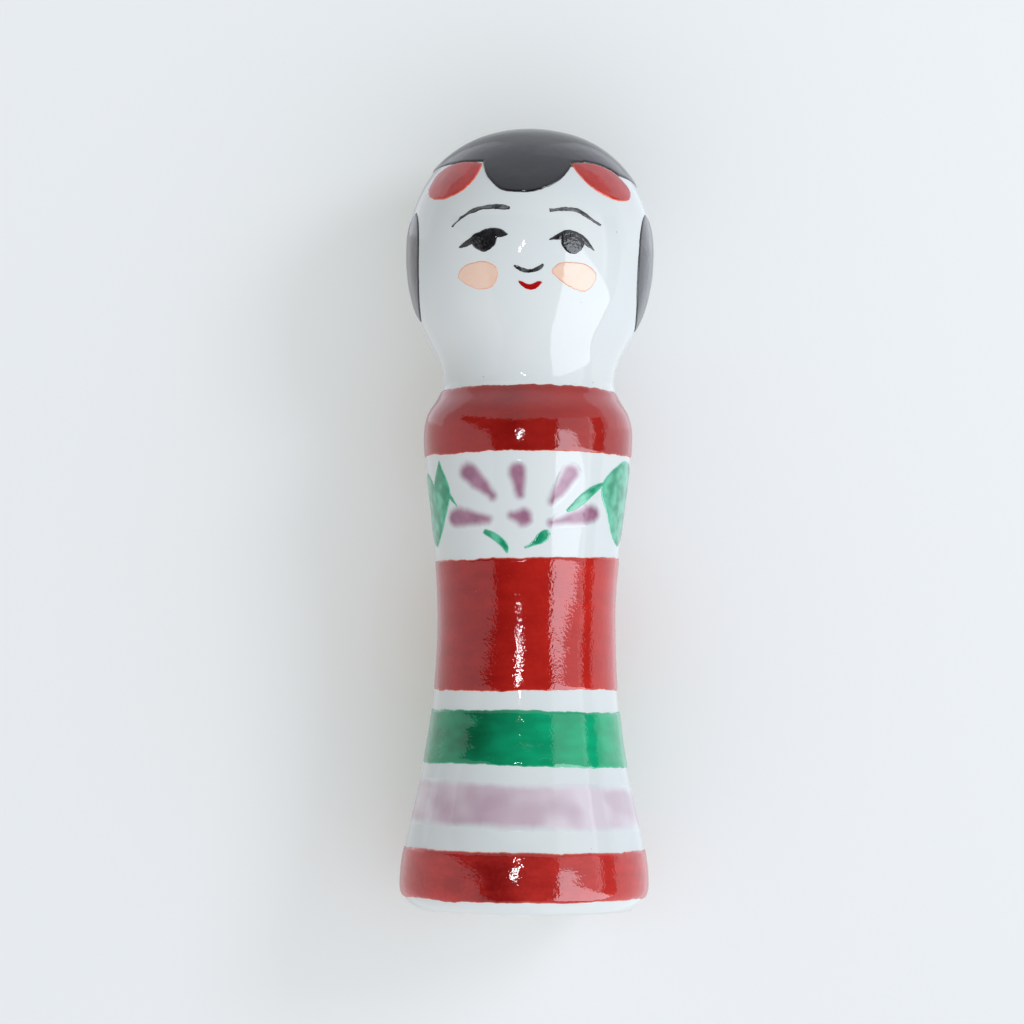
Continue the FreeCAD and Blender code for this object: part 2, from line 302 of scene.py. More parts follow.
def rims(node):
    """Closed outlines of the outer face of an enamel node, each as turn and arc columns."""
    points, triangles = welded(node)
    turn, arc, lift = seat(points)
    top = triangles[(lift[triangles] > lift.max() / 2).all(axis=1)]
    directed = {(a, b) for a, b in edges_of(top)}
    after = {a: b for a, b in directed if (b, a) not in directed}
    loops = []
    while after:
        start, here = after.popitem()
        loop = [start]
        while here != start:
            loop.append(here)
            here = after.pop(here)
        loops.append(np.column_stack([turn[loop], arc[loop]]))
    loops.sort(key=lambda loop: (round(loop[:, 0].mean(), 3), round(loop[:, 1].mean(), 3)))
    return loops


# ---- meshes --------------------------------------------------------

def put(name, data):
    """A new object in the scene."""
    made = bpy.data.objects.new(name, data)
    bpy.context.scene.collection.objects.link(made)
    return made


def make_piece(name, node, slot, material, points, faces, edge=None):
    """A smooth-shaded piece that stands for a CAD node and rides on its body."""
    mesh = bpy.data.meshes.new(name)
    mesh.from_pydata((points * MM).tolist(), [], faces)
    mesh.validate()
    mesh.shade_smooth()
    mesh.set_sharp_from_angle(angle=CREASE)
    if edge is not None:
        attribute = mesh.attributes.new("edge_mm", "FLOAT", "POINT")
        attribute.data.foreach_set("value", edge.astype(np.float32))
    mesh.materials.append(material)
    piece = put(name, mesh)
    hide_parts(node)
    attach(piece, "root")


def lathe(name, node, slot, material, follow=False):
    """Turns a node's half section. With `follow`, its outer side takes the casting's swell."""
    path = smooth_meridian(meridian(node), ROW_STEP)
    turns = np.arange(COLUMNS) * (2 * math.pi / COLUMNS)
    rows = path[1:-1]
    radius = np.repeat(rows[:, 0], COLUMNS)
    turn = np.tile(turns, len(rows))
    points = np.column_stack([radius * np.sin(turn), -radius * np.cos(turn),
                              np.repeat(rows[:, 1], COLUMNS)])
    if follow:
        turn_at, arc_at, lift = seat(points)
        outer = (abs(lift) < ON_GLAZE) & (arc_at > 0)
        points[outer] = on_glaze(turn_at[outer], arc_at[outer])
    crown, inner = [0.0, 0.0, path[0, 1]], [0.0, 0.0, path[-1, 1]]
    if follow:
        crown = on_glaze(np.zeros(1), np.array([outline.crown]))[0]
    points = np.vstack([points, crown, inner])
    first, last = len(points) - 2, len(points) - 1
    faces = []
    for column in range(COLUMNS):
        beside = (column + 1) % COLUMNS
        faces.append((first, column, beside))
        for row in range(len(rows) - 1):
            low = row * COLUMNS
            faces.append((low + column, low + COLUMNS + column, low + COLUMNS + beside,
                          low + beside))
        low = (len(rows) - 1) * COLUMNS
        faces.append((low + column, last, low + beside))
    make_piece(name, node, slot, material, points, faces)


def melted(edge, paint):
    """Height of fired enamel above the glaze at a distance from its rim."""
    share = np.clip(edge / paint["taper"], 0, 1)
    return (paint["thick"] + SINK) * np.sqrt(1 - (1 - share) ** 2) - SINK


def paint_lift(turn, arc, edge, paint):
    """Top of an enamel patch, with the thickness left uneven by the brush."""
    flat = on_glaze(turn, arc)
    streaks = waves(flat, STREAK_WAVELENGTH, paint["seed"] + STREAK_SEED, STREAK_STRETCH)
    ripples = waves(flat, RIPPLE_WAVELENGTH, paint["seed"] + RIPPLE_SEED)
    uneven = np.tanh(STREAK_SHARE * streaks + RIPPLE_SHARE * ripples) - 1
    inner = np.clip(edge / MARKS_FROM_RIM, 0, 1)
    return melted(edge, paint) + paint["uneven"] * uneven * inner


def wobbled(turn, arc, paint, side):
    """How far a brushed edge strays at each of its points."""
    flat = on_glaze(turn, arc)
    seed = paint["seed"] + SIDE_SEED * side + STRAY_SEED
    stray = sum(share * waves(flat, wavelength, seed + number)
                for number, (wavelength, share) in enumerate(STRAYING))
    return paint["wobble"] * stray


def band(node, paint):
    """Enamel ring painted while the doll turned: a grid swept between two wavering edges."""
    turns = np.arange(BAND_COLUMNS) * (2 * math.pi / BAND_COLUMNS)
    edges = []
    for side, loop in enumerate(sorted(rims(node), key=lambda loop: loop[:, 1].mean())):
        order = np.argsort(loop[:, 0])
        arc = np.interp(turns, loop[order, 0], loop[order, 1], period=2 * math.pi)
        edges.append(arc + wobbled(turns, arc, paint, side) + paint["spread"] * (2 * side - 1))
    low, high = edges
    near = np.array((0.0,) + EDGE_RINGS)
    middle = max(2, math.ceil((high - low).mean() / paint["grain"]))
    shares = np.linspace(0, 1, middle + 1)[1:-1]
    rows = [low + distance for distance in near]
    inner_low, inner_high = low + near[-1], high - near[-1]
    rows += [inner_low + (inner_high - inner_low) * share for share in shares]
    rows += [high - distance for distance in near[::-1]]
    arc = np.array(rows)
    edge = np.minimum(arc - low, high - arc).clip(0).ravel()
    turn, arc = np.tile(turns, len(rows)), arc.ravel()
    top = place(turn, arc, paint_lift(turn, arc, edge, paint))
    inside = slice(BAND_COLUMNS, -BAND_COLUMNS)     # all rows but the two rims
    under = place(turn[inside], arc[inside], np.full(len(arc[inside]), -UNDERSIDE))
    return np.vstack([top, under]), band_faces(len(rows)), np.concatenate([edge, edge[inside]])


def band_faces(count):
    """Faces of a ring with so many rows on top, and all of them but the two rims below."""
    faces = []
    start = (count - 1) * BAND_COLUMNS
    for row in range(count - 1):
        ring, above = row * BAND_COLUMNS, (row + 1) * BAND_COLUMNS
        under_ring = start + ring if row else 0
        under_above = start + above if row < count - 2 else above
        for column in range(BAND_COLUMNS):
            beside = (column + 1) % BAND_COLUMNS
            faces.append((ring + column, ring + beside, above + beside, above + column))
            faces.append((under_ring + beside, under_ring + column, under_above + column,
                          under_above + beside))
    return faces


class SideChart:
    """Flat map of a patch of the doll's side: turn times the local radius, and arc length."""

    def __init__(self, loop):
        self.middle = loop[:, 0].mean()
        self.radius = np.interp(loop[:, 1].mean(), outline.arc, outline.radius)

    def flat(self, turn, arc):
        return np.column_stack([(turn - self.middle) * self.radius, arc])

    def round(self, points):
        return points[:, 0] / self.radius + self.middle, points[:, 1]


class CrownChart:
    """Flat map of the crown from above, true in its distances from the middle, for any loop."""

    def __init__(self, loop):
        pass

    def flat(self, turn, arc):
        reach = outline.crown - arc
        return np.column_stack([reach * np.sin(turn), -reach * np.cos(turn)])

    def round(self, points):
        reach = np.hypot(points[:, 0], points[:, 1])
        return np.arctan2(points[:, 0], -points[:, 1]), outline.crown - reach


def closed_smooth(points, step):
    """A closed outline with points about one step apart; its corners stay sharp."""
    ahead = np.roll(points, -1, axis=0) - points
    behind = points - np.roll(points, 1, axis=0)
    turn = np.arctan2(cross(behind, ahead), (behind * ahead).sum(axis=1))
    sharpest = int(np.argmax(abs(turn)))
    points = np.roll(points, -sharpest, axis=0)
    if abs(turn[sharpest]) > CORNER:
        return smooth_path(np.vstack([points, points[:1]]), step)[:-1]
    extra = min(CLOSED_OVERLAP, len(points) - 1)
    whole = np.vstack([points[-extra:], points, points[:extra + 1]])
    knots = lengths(whole)
    start, end = knots[extra], knots[extra + len(points)]
    places = np.linspace(start, end, math.ceil((end - start) / step) + 1)[:-1]
    return spline(knots, whole, places)


def is_inside(points, polygon):
    """Which points lie in the polygon, by counting crossings to their right."""
    x, y = points[:, 0][:, None], points[:, 1][:, None]
    ax, ay = polygon.T
    bx, by = np.roll(polygon, -1, axis=0).T
    rise = np.where(by == ay, LEVEL, by - ay)
    crossing = ((ay > y) != (by > y)) & (x < (bx - ax) * (y - ay) / rise + ax)
    return crossing.sum(axis=1) % 2 == 1


def outward_of(rim):
    """Unit normals of a closed anticlockwise outline, pointing out of it."""
    across = np.roll(rim, -1, axis=0) - np.roll(rim, 1, axis=0)
    across /= np.maximum(np.linalg.norm(across, axis=1), TINY)[:, None]
    return np.column_stack([across[:, 1], -across[:, 0]])


def patch_points(rim, paint):
    """Rim points, rings that follow the rim inwards, and an even fill of the rest."""
    tree = kd_tree(rim)
    inward = -outward_of(rim)
    kept = [rim]
    reach = 0.0
    for ring in EDGE_RINGS:
        if ring > paint["taper"] * RING_REACH:
            break
        candidates = rim + inward * ring
        _, gap = nearest(tree, candidates)
        good = is_inside(candidates, rim) & (gap > RING_CLEARANCE * ring)
        every = 1 if ring < 2 * paint["step"] else 2
        kept.append(candidates[good][::every])
        reach = ring
    low, high = rim.min(axis=0), rim.max(axis=0)
    grain = paint["grain"]
    xs = np.arange(low[0], high[0], grain)
    ys = np.arange(low[1], high[1], grain * math.sqrt(3) / 2)
    grid_x, grid_y = np.meshgrid(xs, ys)
    grid_x[1::2] += grain / 2
    fill = np.column_stack([grid_x.ravel(), grid_y.ravel()])
    fill = fill[is_inside(fill, rim)]
    if len(fill):
        _, gap = nearest(tree, fill)
        kept.append(fill[gap > reach + FILL_CLEARANCE * grain])
    return np.vstack(kept)


def filled(rim, points):
    """Triangles over the inside of an outline, all anticlockwise: their points and corners."""
    border = [list(range(len(rim)))]
    made = delaunay_2d_cdt([Vector(p) for p in points.tolist()], [], border, 1, MERGED)
    flat = np.array([(v.x, v.y) for v in made[0]])
    faces = np.array(made[2])
    a, b, c = flat[faces[:, 0]], flat[faces[:, 1]], flat[faces[:, 2]]
    doubled = cross(b - a, c - a)
    faces = np.where((doubled < 0)[:, None], faces[:, ::-1], faces)
    return flat, faces[abs(doubled) > TINY]


def bordering(faces, count):
    """Which of so many points lie on an edge that only one triangle has."""
    times = {}
    for pair in map(tuple, np.sort(edges_of(faces), axis=1)):
        times[pair] = times.get(pair, 0) + 1
    border = np.zeros(count, bool)
    for pair, number in times.items():
        if number == 1:
            border[list(pair)] = True
    return border


def patch(loop, chart_type, paint, side):
    """Enamel inside one closed outline: a thin lens with its rim sunk in the glaze."""
    chart = chart_type(loop)
    rim = closed_smooth(chart.flat(loop[:, 0], loop[:, 1]), paint["step"])
    if cross(rim, np.roll(rim, -1, axis=0)).sum() < 0:
        rim = rim[::-1]
    stray = wobbled(*chart.round(rim), paint, side) + paint["spread"]
    rim = rim + outward_of(rim) * stray[:, None]
    flat, faces = filled(rim, patch_points(rim, paint))
    turn, arc = chart.round(flat)
    dense = on_glaze(*chart.round(rim))
    dense = np.vstack([dense, (dense + np.roll(dense, -1, axis=0)) / 2])
    _, edge = nearest(kd_tree(dense), on_glaze(turn, arc))
    on_rim = bordering(faces, len(flat))
    edge[on_rim] = 0
    top = place(turn, arc, paint_lift(turn, arc, edge, paint))
    inner = np.flatnonzero(~on_rim)
    under = place(turn[inner], arc[inner], np.full(len(inner), -UNDERSIDE))
    below = np.arange(len(flat))
    below[inner] = len(flat) + np.arange(len(inner))
    # A triangle with all corners on the rim has no underside of its own and lies below the
    # glaze, so it is left out.
    faces = faces[~on_rim[faces].all(axis=1)]
    mesh_faces = np.vstack([faces, below[faces][:, ::-1]])
    return np.vstack([top, under]), mesh_faces, np.concatenate([edge, edge[inner]])


def motif(node, paint, chart_type):
    """Every separate dab or stroke of one enamel node, as one mesh."""
    all_points, all_faces, all_edges = [], [], []
    start = 0               # points of the dabs made so far
    for side, loop in enumerate(rims(node)):
        if chart_type is SideChart:
            loop = loop.copy()
            loop[:, 0] = np.unwrap(loop[:, 0])
        points, faces, edge = patch(loop, chart_type, paint, side)
        used = np.unique(faces)
        renumber = np.full(len(points), -1)
        renumber[used] = np.arange(len(used))
        all_points.append(points[used])
        all_faces.append(renumber[faces] + start)
        all_edges.append(edge[used])
        start += len(used)
    return np.vstack(all_points), np.vstack(all_faces).tolist(), np.concatenate(all_edges)


# ---- materials -----------------------------------------------------

# Mirroring is held back where a surface is seen edge-on, and more so by an eye behind the doll.
# Each is a smooth step: a value from and to, and the specular level below and above.
EDGE_ON = (0.00, 0.30, 0.00, 0.50)      # how squarely the surface faces the eye
EDGE_ON_BEHIND = (0.16, 0.42, 0.00, 0.50)
FROM_BEHIND = (0.10, 0.45, 0.50, 0.00)  # how far behind the doll the eye is

GLAZE_WHITE = (0.69, 0.735, 0.745)
GLAZE_IOR = 1.34
ENAMEL_IOR = 1.5
BISQUE_ROUGHNESS = 0.62

# Wavelengths of the unevenness of fired enamel.
STREAKS, POOLS, MOTTLE = 1.1, 2.1, 0.33
MELT_RIPPLE, MELT_WAVE = 0.21, 1.3
MELT_WAVE_DEPTH = 0.016
SPECKLE = 0.2               # share of the mottle in the unevenness, at a detail of FULL_DETAIL
FULL_DETAIL = 3.0
THINNING = (0.38, 0.66)     # the unevenness from and to which the paint thins out
ENAMEL_ROUGHNESS = (0.3, 0.7, 0.03, 0.06)   # mottle from and to, and roughness there
LIP_ROUGHNESS = 0.22        # the drawn-out rim is this much rougher
LIP_FULL = 0.25             # share of its width over which it keeps its own colour
NOISE_MIDDLE = 0.5
SOFT_START, SOFT_WANDER = 0.02, 0.5     # millimetres, and a share of the soft width

# Painted side light is two smooth steps: from and to in shares of its reach, and the share of the
# lightening that each adds. It paints the colour lighter away from a given x, as on the sides of a
# band where light falls.
SIDE_LIGHT_STEPS = ((0.0, 0.3, 0.35), (0.1, 1.0, 0.65))


class Shader:
    """Short way to write a node tree: most calls add nodes and return the last one's output."""

    def __init__(self, name, world=False):
        kind = bpy.data.worlds if world else bpy.data.materials
        self.block = kind.new(name)
        self.block.use_nodes = True
        self.tree = self.block.node_tree
        self.tree.nodes.clear()

    def add(self, kind, inputs=None, out=0, **settings):
        node = self.tree.nodes.new(kind)
        for key, value in settings.items():
            setattr(node, key, value)
        for key, value in (inputs or {}).items():
            self.feed(node.inputs[key], value)
        return node.outputs[out] if node.outputs else None

    def feed(self, socket, value):
        if isinstance(value, bpy.types.NodeSocket):
            self.tree.links.new(value, socket)
        elif isinstance(value, tuple) and len(value) == 3 and socket.type == "RGBA":
            socket.default_value = value + (1.0,)
        else:
            socket.default_value = value

    def math(self, operation, a, b=0.0, clamp=False):
        return self.add("ShaderNodeMath", {0: a, 1: b}, operation=operation, use_clamp=clamp)

    def vector(self, operation, a, b, out=0):
        return self.add("ShaderNodeVectorMath", {0: a, 1: b}, out=out, operation=operation)

    def step(self, value, low, high, start=0.0, end=1.0):
        """Smooth step: `start` below low, `end` above high."""
        inputs = {"Value": value, "From Min": low, "From Max": high, "To Min": start,
                  "To Max": end}
        return self.add("ShaderNodeMapRange", inputs, interpolation_type="SMOOTHSTEP")

    def sum(self, *terms):
        total = terms[0]
        for term in terms[1:]:
            total = self.math("ADD", total, term)
        return total

    def product(self, *factors):
        total = factors[0]
        for factor in factors[1:]:
            total = self.math("MULTIPLY", total, factor)
        return total

    def mix(self, share, a, b):
        """Colour a at share 0 and b at share 1."""
        return self.add("ShaderNodeMix", {0: share, 6: a, 7: b}, out=2, data_type="RGBA")

    def noise(self, place_mm, wavelength, detail=2.0, roughness=0.5):
        inputs = {"Vector": place_mm, "Scale": 1 / wavelength, "Detail": detail,
                  "Roughness": roughness}
        return self.add("ShaderNodeTexNoise", inputs)

    def specked(self, colour, place_mm, speck, per_mm, core, rim, share):
        """The colour with scattered dots: `share` of speck in the core, none beyond the rim."""
        inputs = {"Vector": place_mm, "Scale": per_mm}
        from_middle = self.add("ShaderNodeTexVoronoi", inputs)
        dots = self.product(self.step(from_middle, core, rim, 1.0, 0.0), share)
        return self.mix(dots, colour, speck)

    def place_mm(self):
        coordinates = self.add("ShaderNodeTexCoord", out=3)
        return self.vector("MULTIPLY", coordinates, (1 / MM,) * 3)

    def attribute(self, name):
        return self.add("ShaderNodeAttribute", out=2, attribute_name=name)

    def bump(self, height, depth_mm, normal=None):
        inputs = {"Height": height, "Distance": depth_mm * MM, "Strength": 1.0}
        if normal is not None:
            inputs["Normal"] = normal
        return self.add("ShaderNodeBump", inputs)

    def finish_surface(self, colour, roughness, normal, ior=ENAMEL_IOR):
        """Glossy surface whose mirroring is held back where it is seen edge-on."""
        geometry = self.tree.nodes.new("ShaderNodeNewGeometry")
        to_eye = geometry.outputs["Incoming"]
        facing = self.vector("DOT_PRODUCT", to_eye, geometry.outputs["Normal"], out=1)
        behind = self.vector("DOT_PRODUCT", to_eye, (0, 1, 0), out=1)
        level = self.math("MAXIMUM", self.step(facing, *EDGE_ON_BEHIND),
                          self.step(behind, *FROM_BEHIND))
        level = self.math("MINIMUM", level, self.step(facing, *EDGE_ON))
        inputs = {"Base Color": colour, "Roughness": roughness, "IOR": ior, "Normal": normal,
                  "Specular IOR Level": level}
        surface = self.add("ShaderNodeBsdfPrincipled", inputs)
        self.add("ShaderNodeOutputMaterial", {"Surface": surface})
        return self.block


def glaze_material():
    """Clear glaze over white porcelain: cool, glassy, with a faint orange peel and iron specks."""
    shader = Shader("glazed_porcelain")
    place_mm = shader.place_mm()
    slow = shader.noise(place_mm, wavelength=2.4, detail=1.0)
    peel = shader.noise(place_mm, wavelength=0.55)
    cloud = shader.noise(place_mm, wavelength=7.0)
    warm_white, iron = (0.715, 0.75, 0.75), (0.30, 0.27, 0.25)
    colour = shader.mix(shader.step(cloud, 0.35, 0.68), GLAZE_WHITE, warm_white)
    colour = shader.specked(colour, place_mm, iron, per_mm=0.42, core=0.018, rim=0.035, share=0.55)
    roughness = shader.step(peel, 0.3, 0.7, 0.03, 0.055)
    normal = shader.bump(peel, 0.0016, shader.bump(slow, 0.012))
    return shader.finish_surface(colour, roughness, normal, GLAZE_IOR)


def bisque_material():
    """Unglazed porcelain of the foot ring, the recess and the inside: matt and fine-grained."""
    shader = Shader("bisque_porcelain")
    place_mm = shader.place_mm()
    grain = shader.noise(place_mm, wavelength=0.12, detail=3.0, roughness=0.65)
    cloud = shader.noise(place_mm, wavelength=2.5, detail=3.0)
    dull, clean, iron = (0.72, 0.70, 0.66), (0.80, 0.79, 0.765), (0.36, 0.29, 0.23)
    colour = shader.mix(shader.step(cloud, 0.3, 0.75), dull, clean)
    colour = shader.specked(colour, place_mm, iron, per_mm=1.1, core=0.03, rim=0.07, share=0.5)
    return shader.finish_surface(colour, BISQUE_ROUGHNESS, shader.bump(grain, 0.02))


def brushed(shader, place_mm, long_way, scale, detail):
    """Mottle, pools, and their mix with as much of the streaks: where the paint lies thin."""
    streaks = shader.noise(long_way, STREAKS * scale, detail, roughness=0.6)
    pools = shader.noise(place_mm, POOLS * scale, min(detail, 2.0))
    mottle = shader.noise(place_mm, MOTTLE * scale, roughness=0.6)
    speckle = SPECKLE * detail / FULL_DETAIL
    blend = shader.sum(shader.product(streaks, 0.5), shader.product(pools, 0.5 - speckle),
                       shader.product(mottle, speckle))
    return mottle, pools, blend


def add_painted_side_light(shader, place_mm, thin_paint_and_side_light, least_lit_x, reach, share):
    """Share of the thin colour with painted side light added: it grows away from x, so the colour
    is painted lighter where light falls on the sides.
    """
    x = shader.add("ShaderNodeSeparateXYZ", {0: place_mm})
    away = shader.math("ABSOLUTE", shader.math("SUBTRACT", x, least_lit_x))
    steps = [shader.step(away, low * reach, high * reach, 0, part * share)
             for low, high, part in SIDE_LIGHT_STEPS]
    return shader.math("ADD", thin_paint_and_side_light, shader.sum(*steps), clamp=True)


def enamel_material(name, deep, thin, rim, rim_width, uneven=0.6, pinholes=0.35, rim_share=1.0,
                    streak_length=3.0, ripple=0.006, soft=None, scale=1.0, painted_side_light=None,
                    detail=FULL_DETAIL):
    """Fired enamel: deep where it lies thick, lighter where thin, and drawn out at its rim.

    With `soft`, the colour fades into the glaze over that many millimetres from the rim. With
    `painted_side_light` = (x, reach, share), painted light makes the colour lighter over that reach
    to either side of x, towards the thin colour, as on the lit sides and edges of a band.
    """
    shader = Shader(name)
    place_mm = shader.place_mm()
    edge = shader.attribute("edge_mm")
    long_way = shader.vector("MULTIPLY", place_mm, (1 / streak_length, 1 / streak_length, 1.0))
    mottle, pools, blend = brushed(shader, place_mm, long_way, scale, detail)
    thin_paint_and_side_light = shader.product(shader.step(blend, *THINNING), uneven)
    # Painted side light: the colour is painted lighter away from a given x, towards the thin
    # colour, where light falls on the sides of the band.
    if painted_side_light is not None:
        thin_paint_and_side_light = add_painted_side_light(shader, place_mm, thin_paint_and_side_light, *painted_side_light)
    # The thin colour here stands both for thin paint and for the painted side light.
    colour = shader.mix(thin_paint_and_side_light, deep, thin)
    ragged = shader.product(shader.math("SUBTRACT", mottle, NOISE_MIDDLE), rim_width)
    lip = shader.step(shader.sum(edge, ragged), LIP_FULL * rim_width, rim_width, rim_share, 0.0)
    colour = shader.mix(lip, colour, rim)
    colour = shader.specked(colour, place_mm, rim, per_mm=0.9, core=0.03, rim=0.06, share=pinholes)
    if soft is not None:
        wander = shader.math("SUBTRACT", pools, NOISE_MIDDLE)
        wander = shader.product(wander, SOFT_WANDER * soft)
        body = shader.step(shader.sum(edge, wander), SOFT_START, soft)
        colour = shader.mix(body, GLAZE_WHITE, colour)
    fine = shader.noise(place_mm, MELT_RIPPLE, detail=1.0)
    slow = shader.noise(long_way, MELT_WAVE, detail=1.0)
    normal = shader.bump(fine, ripple, shader.bump(slow, MELT_WAVE_DEPTH))
    roughness = shader.sum(shader.step(mottle, *ENAMEL_ROUGHNESS),
                           shader.product(lip, LIP_ROUGHNESS))
    return shader.finish_surface(colour, roughness, normal)


# A painted_side_light entry paints the enamel lighter to either side of its x: painted light on the
# lit sides and edges of the bands.
ENAMELS = {
    "black": dict(
        deep=(0.010, 0.010, 0.013), thin=(0.022, 0.021, 0.024), rim=(0.10, 0.09, 0.085),
        rim_width=0.05, pinholes=0.25),
    "black_wash": dict(
        deep=(0.045, 0.045, 0.047), thin=(0.085, 0.085, 0.088), rim=(0.015, 0.017, 0.024),
        rim_width=0.10, pinholes=0.3),
    "black_line": dict(
        deep=(0.006, 0.006, 0.006), thin=(0.22, 0.23, 0.24), rim=(0.014, 0.013, 0.012),
        rim_width=0.09, uneven=0.80, streak_length=1.6, scale=0.40, ripple=0.008),
    "black_eye": dict(
        deep=(0.006, 0.006, 0.007), thin=(0.060, 0.060, 0.064), rim=(0.020, 0.019, 0.018),
        rim_width=0.05, uneven=0.5, streak_length=1.0, scale=0.45, ripple=0.020),
    "deep_red": dict(
        deep=(0.215, 0.003, 0.002), thin=(0.410, 0.018, 0.013), rim=(0.66, 0.115, 0.055),
        rim_width=0.10, uneven=0.30, painted_side_light=(-1.5, 6.5, 0.65), ripple=0.009),
    "red": dict(
        deep=(0.265, 0.004, 0.003), thin=(0.545, 0.020, 0.013), rim=(0.68, 0.12, 0.06),
        rim_width=0.10, uneven=0.30, painted_side_light=(-3.5, 9.5, 0.75), ripple=0.014),
    "foot_red": dict(
        deep=(0.205, 0.004, 0.004), thin=(0.610, 0.036, 0.029), rim=(0.70, 0.15, 0.09),
        rim_width=0.14, uneven=0.35, painted_side_light=(-2.5, 9.0, 0.70), ripple=0.012),
    "ribbon_red": dict(
        deep=(0.40, 0.012, 0.008), thin=(0.58, 0.035, 0.022), rim=(0.76, 0.15, 0.09),
        rim_width=0.12, streak_length=1.0),
    "lip": dict(
        deep=(0.36, 0.002, 0.002), thin=(0.46, 0.006, 0.006), rim=(0.60, 0.06, 0.05),
        rim_width=0.04, uneven=0.4, scale=0.5),
    "peach": dict(
        deep=(0.84, 0.57, 0.44), thin=(0.84, 0.65, 0.54), rim=(0.80, 0.35, 0.20),
        rim_width=0.13, pinholes=0.0, rim_share=0.8),
    "green": dict(
        deep=(0.0005, 0.105, 0.042), thin=(0.004, 0.440, 0.200), rim=(0.08, 0.48, 0.29),
        rim_width=0.10, uneven=0.28, painted_side_light=(-4.0, 10.0, 0.76), ripple=0.010, detail=1.2),
    "leaf": dict(
        deep=(0.008, 0.27, 0.135), thin=(0.13, 0.56, 0.37), rim=(0.18, 0.56, 0.39),
        rim_width=0.12, uneven=0.9, streak_length=1.0, scale=0.75, detail=0.6),
    "purple_band": dict(
        deep=(0.51, 0.365, 0.445), thin=(0.72, 0.64, 0.695), rim=(0.68, 0.60, 0.67),
        rim_width=0.2, uneven=0.75, pinholes=0.0, streak_length=1.4, ripple=0.002, soft=0.80,
        scale=1.7, painted_side_light=(-4.5, 13.0, 0.40), detail=0.4),
    "petal": dict(
        deep=(0.29, 0.115, 0.195), thin=(0.45, 0.25, 0.35), rim=(0.54, 0.39, 0.49),
        rim_width=0.22, pinholes=0.0, streak_length=1.0, ripple=0.002, soft=0.74, detail=1.0),
}


# ---- the pieces ----------------------------------------------------

def paint(seed, thick=0.09, taper=0.22, uneven=0.018, wobble=0.012, grain=0.14, step=0.05,
          spread=0.0):
    """How one enamel was laid, in millimetres: thickness, width of its melted edge, unevenness,
    straying of the edge, spacing of the points inside and along the rim, and how far it bled."""
    return {"seed": seed, "thick": thick, "taper": taper, "uneven": uneven, "wobble": wobble,
            "grain": grain, "step": step, "spread": spread}


RED_BAND = {"thick": 0.10, "taper": 0.38}
FINE_STROKE = {"grain": 0.06, "step": 0.03}
BANDS = {
    "shoulder_band": ("red_enamel", "deep_red", paint(100, uneven=0.005, wobble=0.055, **RED_BAND)),
    "waist_band": ("red_enamel", "red", paint(200, uneven=0.004, wobble=0.05, **RED_BAND)),
    "foot_band": ("red_enamel", "foot_red", paint(300, uneven=0.007, wobble=0.05, **RED_BAND)),
    "green_band": ("green_enamel", "green",
                   paint(400, thick=0.11, taper=0.40, uneven=0.007, wobble=0.05)),
    "purple_band": ("purple_enamel", "purple_band",
                    paint(500, thick=0.016, taper=0.50, uneven=0.002, wobble=0.06, spread=0.42)),
}
MOTIFS = {
    "hair_cap": ("black_enamel", "black",
                 paint(600, thick=0.117, taper=0.26, uneven=0.006, grain=0.17, step=0.07)),
    "side_locks": ("black_enamel", "black_wash", paint(700, uneven=0.006, wobble=0.016)),
    "hair_ribbons": ("red_enamel", "ribbon_red",
                     paint(800, thick=0.10, taper=0.26, uneven=0.007, wobble=0.020)),
    "eyebrows": ("black_enamel", "black_line",
                 paint(900, thick=0.04, taper=0.09, uneven=0.010, wobble=0.045, spread=0.035,
                       **FINE_STROKE)),
    "eyes": ("black_enamel", "black_eye",
             paint(1000, thick=0.06, taper=0.12, uneven=0.006, wobble=0.045, grain=0.07,
                   step=0.03, spread=0.01)),
    "nose": ("black_enamel", "black_line",
             paint(1100, thick=0.04, taper=0.09, uneven=0.010, wobble=0.030, spread=0.05,
                   **FINE_STROKE)),
    "mouth": ("lip_red_enamel", "lip",
              paint(1200, thick=0.05, taper=0.10, uneven=0.010, wobble=0.035, spread=0.03,
                    **FINE_STROKE)),
    "cheeks": ("peach_enamel", "peach",
               paint(1300, thick=0.03, taper=0.12, uneven=0.005, wobble=0.03, grain=0.10,
                     step=0.04, spread=0.03)),
    "flower_petals": ("purple_enamel", "petal",
                      paint(1400, thick=0.016, taper=0.45, uneven=0.002, wobble=0.05, grain=0.10,
                            spread=0.35)),
    "flower_leaves": ("green_enamel", "leaf",
                      paint(1500, thick=0.07, taper=0.24, uneven=0.008, wobble=0.03, grain=0.12,
                            spread=0.04)),
}

glaze, bisque = glaze_material(), bisque_material()
enamels = {name: enamel_material(name + "_enamel", **look) for name, look in ENAMELS.items()}
lathe("porcelain_casting", "porcelain_body", "porcelain", bisque)
lathe("clear_glaze_coat", "clear_glaze", "clear_glaze", glaze, follow=True)
for node, (slot, enamel, laid) in BANDS.items():
    make_piece(node + "_enamel", node, slot, enamels[enamel], *band(node, laid))
for node, (slot, enamel, laid) in MOTIFS.items():
    chart_type = CrownChart if node == "hair_cap" else SideChart
    make_piece(node + "_enamel", node, slot, enamels[enamel], *motif(node, laid, chart_type))


# ---- light ---------------------------------------------------------

